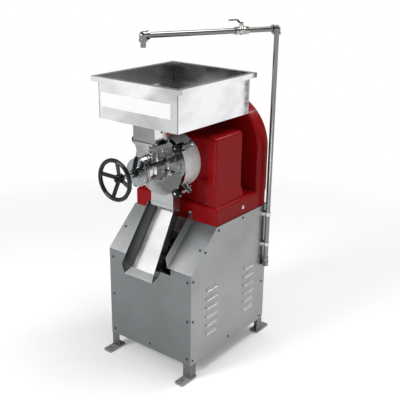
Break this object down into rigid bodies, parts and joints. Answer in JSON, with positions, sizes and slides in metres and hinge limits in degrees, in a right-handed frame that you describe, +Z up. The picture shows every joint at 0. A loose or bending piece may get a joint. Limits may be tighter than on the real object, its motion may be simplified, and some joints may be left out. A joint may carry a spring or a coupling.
{
  "type": "rice wet mill",
  "caption": "Floor-standing stone mill that grinds soaked rice: open hopper, worm-fed stone chamber with handwheel, belt drive in a cabinet, discharge chute and water pipe.",
  "frame": {"origin": "on the floor, midway between the four floor bolt holes", "axes": "+X to the right as seen from the handwheel, +Y from the handwheel towards the belt guard, +Z up"},
  "size_m": [0.5148, 0.7915, 1.449],
  "materials": {
    "cabinet_steel": "satin",
    "red_paint": "gloss",
    "polished_steel": "mirror polished",
    "sheet_steel": "bright rolled",
    "machined_steel": "machined",
    "cast_metal": "cast",
    "grit_stone": "rough",
    "black_iron": "gloss black",
    "black_plastic": "gloss",
    "black_rubber": "matt",
    "valve_brass": "plated",
    "valve_handle": "dipped"
  },
  "bodies": {
    "base": {"leg_front_left": "cabinet_steel", "leg_front_right": "cabinet_steel", "leg_rear_left": "cabinet_steel", "leg_rear_right": "cabinet_steel", "foot_plates": "cabinet_steel", "frame_rails": "cabinet_steel", "mounting_plate": "cabinet_steel", "front_panel": "cabinet_steel", "right_panel": "cabinet_steel", "left_panel": "cabinet_steel", "rear_panel": "cabinet_steel", "slope_cover_left": "cabinet_steel", "slope_cover_right": "cabinet_steel", "plinth": "red_paint", "pedestal": "red_paint", "belt_guard": "red_paint", "guard_back_cover": "red_paint", "front_casting": "polished_steel", "adjusting_disc": "polished_steel", "hopper_shell": "polished_steel", "hopper_funnel": "polished_steel", "inlet_duct": "polished_steel", "outlet_spout": "sheet_steel", "chute": "sheet_steel", "riser_pipe": "sheet_steel", "arm_pipes": "sheet_steel", "inlet_coupling": "sheet_steel", "top_elbow": "sheet_steel", "end_elbow": "sheet_steel", "pipe_clips": "sheet_steel", "chamber_ring": "machined_steel", "front_bearing": "machined_steel", "rear_bearing": "machined_steel", "clamp_studs": "machined_steel", "tie_rods": "machined_steel", "casting_plug": "machined_steel", "motor_body": "cast_metal", "motor_slide_rails": "cast_metal", "motor_fan_cover": "black_plastic", "shaft_seal": "black_rubber", "drive_belts": "black_rubber", "valve_body": "valve_brass"},
    "rotor": {"main_shaft": "machined_steel", "driven_pulley": "cast_metal", "rotor_plate": "machined_steel", "rotor_stone": "grit_stone", "feed_worm": "machined_steel"},
    "motor_rotor": {"motor_shaft": "machined_steel", "motor_pulley": "cast_metal"},
    "stone_slide": {"adjusting_sleeve": "polished_steel", "front_stone": "grit_stone"},
    "handwheel": {"adjusting_spindle": "machined_steel", "handwheel": "black_iron"},
    "lock_lever": {"lock_lever": "black_iron"},
    "water_valve": {"valve_ball": "valve_brass", "valve_lever": "valve_handle"},
    "knob_upper_right": {"clamp_knob_upper_right": "black_plastic"},
    "knob_upper_left": {"clamp_knob_upper_left": "black_plastic"},
    "knob_lower_left": {"clamp_knob_lower_left": "black_plastic"},
    "knob_lower_right": {"clamp_knob_lower_right": "black_plastic"}
  },
  "joints": [
    {"name": "main_shaft_spin", "type": "hinge", "parent": "base", "child": "rotor", "pos_m": [0, -0.1, 0.886], "axis": [0, 1, 0], "continuous": true},
    {"name": "motor_spin", "type": "hinge", "parent": "base", "child": "motor_rotor", "pos_m": [0, 0.2, 0.442], "axis": [0, 1, 0], "continuous": true},
    {"name": "stone_gap_slide", "type": "slide", "parent": "base", "child": "stone_slide", "axis": [0, 1, 0], "range_m": [-0.00401, 0.00101]},
    {"name": "handwheel_turn", "type": "hinge", "parent": "stone_slide", "child": "handwheel", "pos_m": [0, -0.44, 0.886], "axis": [0, 1, 0], "range_deg": [-480, 120]},
    {"name": "lock_lever_turn", "type": "hinge", "parent": "base", "child": "lock_lever", "pos_m": [0, -0.353, 0.886], "axis": [0, 1, 0], "range_deg": [-90, 0]},
    {"name": "water_valve_turn", "type": "hinge", "parent": "base", "child": "water_valve", "pos_m": [0.17124, 0.10039, 1.405], "axis": [0, 0, 1], "range_deg": [0, 90]},
    {"name": "knob_upper_right_turn", "type": "hinge", "parent": "base", "child": "knob_upper_right", "pos_m": [0.10566, -0.22, 0.97785], "axis": [0, 1, 0], "range_deg": [-720, 0]},
    {"name": "knob_upper_left_turn", "type": "hinge", "parent": "base", "child": "knob_upper_left", "pos_m": [-0.10566, -0.22, 0.97785], "axis": [0, 1, 0], "range_deg": [-720, 0]},
    {"name": "knob_lower_left_turn", "type": "hinge", "parent": "base", "child": "knob_lower_left", "pos_m": [-0.10566, -0.22, 0.79415], "axis": [0, 1, 0], "range_deg": [-720, 0]},
    {"name": "knob_lower_right_turn", "type": "hinge", "parent": "base", "child": "knob_lower_right", "pos_m": [0.10566, -0.22, 0.79415], "axis": [0, 1, 0], "range_deg": [-720, 0]}
  ],
  "couplings": [
    {"joint": "motor_spin", "follows": "main_shaft_spin", "ratio": 3.8542},
    {"joint": "stone_gap_slide", "follows": "handwheel_turn", "m_per_rad": 0.00047746}
  ]
}
